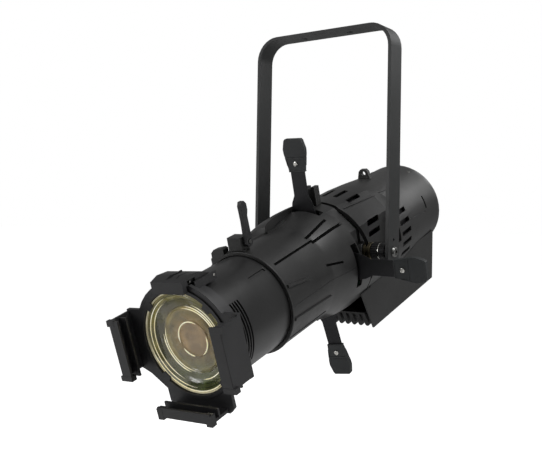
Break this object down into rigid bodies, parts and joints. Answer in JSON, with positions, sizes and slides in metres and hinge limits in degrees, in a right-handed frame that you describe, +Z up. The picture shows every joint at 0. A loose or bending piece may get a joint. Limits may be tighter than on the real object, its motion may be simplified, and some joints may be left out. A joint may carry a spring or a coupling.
{
  "type": "ellipsoidal spotlight",
  "caption": "Stage ellipsoidal spotlight with a strap yoke, tilting body, framing shutters, sliding lens tube with frame slots, driver box and rear menu panel.",
  "frame": {"origin": "middle of the yoke bar's top face, where a hook clamp bolts on", "axes": "+Z up out of the yoke bar; -Y the way the light faces, with its nose 18.1 degrees down; X along the tilt axis"},
  "size_m": [0.3976, 0.6668, 0.5676],
  "materials": {
    "casting": "black powder coat, satin",
    "strap": "black powder coat, satin",
    "grip": "black moulded, lightly textured",
    "blade": "blackened stainless sheet",
    "steel": "bright plated",
    "brass": "dull brass",
    "aluminium": "plain",
    "glass": "polished with an anti-reflection coating",
    "board": "solder-masked laminate",
    "emitter": "phosphor layer",
    "plastic": "black moulded",
    "screen": "dark gloss"
  },
  "bodies": {
    "yoke": {"yoke": "strap", "pivot_bolt_near": "steel", "pivot_bolt_far": "steel"},
    "housing": {"rear_housing": "casting", "barrel_upper": "casting", "barrel_lower": "casting", "rear_cap": "casting", "driver_box": "casting", "driver_heatsink": "casting", "driver_board": "board", "safety_lug": "casting", "slot_cover": "casting", "focus_clamp": "casting", "pivot_hub_near": "casting", "pivot_hub_far": "casting", "friction_disc_near": "brass", "friction_disc_far": "brass", "shutter_gate_front": "blade", "shutter_gate_rear": "blade", "led_heatsink": "aluminium", "led_board": "board", "led_emitter": "emitter", "collimator": "aluminium", "condenser_lens": "glass", "fan_frame": "plastic", "display_window": "screen", "power_inlet": "plastic", "data_socket_in": "plastic", "data_socket_out": "plastic"},
    "lens": {"lens_tube": "casting", "front_lens": "glass", "rear_lens": "glass", "rear_lens_ring": "plastic", "accessory_holder": "casting", "lens_retainer": "plastic", "latch_pin": "steel"},
    "latch": {"top_latch": "casting"},
    "lever": {"focus_lever": "plastic", "focus_clamp_bolt": "steel"},
    "knob_near": {"tilt_knob_near": "plastic"},
    "knob_far": {"tilt_knob_far": "plastic"},
    "fan": {"fan_rotor": "plastic"},
    "shutter_top": {"shutter_blade_top": "blade", "shutter_grip_top": "grip", "shutter_screw_top": "steel"},
    "shutter_bottom": {"shutter_blade_bottom": "blade", "shutter_grip_bottom": "grip", "shutter_screw_bottom": "steel"},
    "shutter_near": {"shutter_blade_near": "blade", "shutter_grip_near": "grip", "shutter_screw_near": "steel"},
    "shutter_far": {"shutter_blade_far": "blade", "shutter_grip_far": "grip", "shutter_screw_far": "steel"},
    "button_1": {"menu_button_1": "plastic"},
    "button_2": {"menu_button_2": "plastic"},
    "button_3": {"menu_button_3": "plastic"},
    "button_4": {"menu_button_4": "plastic"}
  },
  "joints": [
    {"name": "tilt", "type": "hinge", "parent": "yoke", "child": "housing", "pos_m": [0, 0, -0.35], "axis": [1, 0, 0], "range_deg": [-68, 72]},
    {"name": "lens_slide", "type": "slide", "parent": "housing", "child": "lens", "axis": [0, -0.9505, -0.3107], "range_m": [-0.05, 0.04]},
    {"name": "latch_hinge", "type": "hinge", "parent": "lens", "child": "latch", "pos_m": [-0.00361, -0.30233, -0.37779], "axis": [-0.9989, 0.0146, -0.0448], "range_deg": [0, 80]},
    {"name": "focus_lever_turn", "type": "hinge", "parent": "housing", "child": "lever", "pos_m": [0, -0.20894, -0.33518], "axis": [1, 0, 0], "range_deg": [-30, 70]},
    {"name": "tilt_knob_near_turn", "type": "hinge", "parent": "yoke", "child": "knob_near", "pos_m": [0.106, 0, -0.35], "axis": [1, 0, 0], "range_deg": [0, 360]},
    {"name": "tilt_knob_far_turn", "type": "hinge", "parent": "yoke", "child": "knob_far", "pos_m": [-0.106, 0, -0.35], "axis": [-1, 0, 0], "range_deg": [0, 360]},
    {"name": "fan_spin", "type": "hinge", "parent": "housing", "child": "fan", "pos_m": [0, 0.16201, -0.30652], "axis": [0, -0.9505, -0.3107], "continuous": true},
    {"name": "shutter_top_slide", "type": "slide", "parent": "housing", "child": "shutter_top", "axis": [-0.0192, 0.3106, -0.9503], "range_m": [-0.002, 0.043]},
    {"name": "shutter_bottom_slide", "type": "slide", "parent": "housing", "child": "shutter_bottom", "axis": [-0.1305, -0.308, 0.9424], "range_m": [-0.011, 0.034]},
    {"name": "shutter_near_slide", "type": "slide", "parent": "housing", "child": "shutter_near", "axis": [-1, -0.0027, 0.0083], "range_m": [-0.003, 0.042]},
    {"name": "shutter_far_slide", "type": "slide", "parent": "housing", "child": "shutter_far", "axis": [0.9981, -0.019, 0.058], "range_m": [-0.003, 0.042]},
    {"name": "menu_button_1_press", "type": "slide", "parent": "housing", "child": "button_1", "axis": [0, -0.9505, -0.3107], "range_m": [0, 0.0015], "stiffness_N_per_m": 300, "springref_m": -0.001},
    {"name": "menu_button_2_press", "type": "slide", "parent": "housing", "child": "button_2", "axis": [0, -0.9505, -0.3107], "range_m": [0, 0.0015], "stiffness_N_per_m": 300, "springref_m": -0.001},
    {"name": "menu_button_3_press", "type": "slide", "parent": "housing", "child": "button_3", "axis": [0, -0.9505, -0.3107], "range_m": [0, 0.0015], "stiffness_N_per_m": 300, "springref_m": -0.001},
    {"name": "menu_button_4_press", "type": "slide", "parent": "housing", "child": "button_4", "axis": [0, -0.9505, -0.3107], "range_m": [0, 0.0015], "stiffness_N_per_m": 300, "springref_m": -0.001}
  ]
}
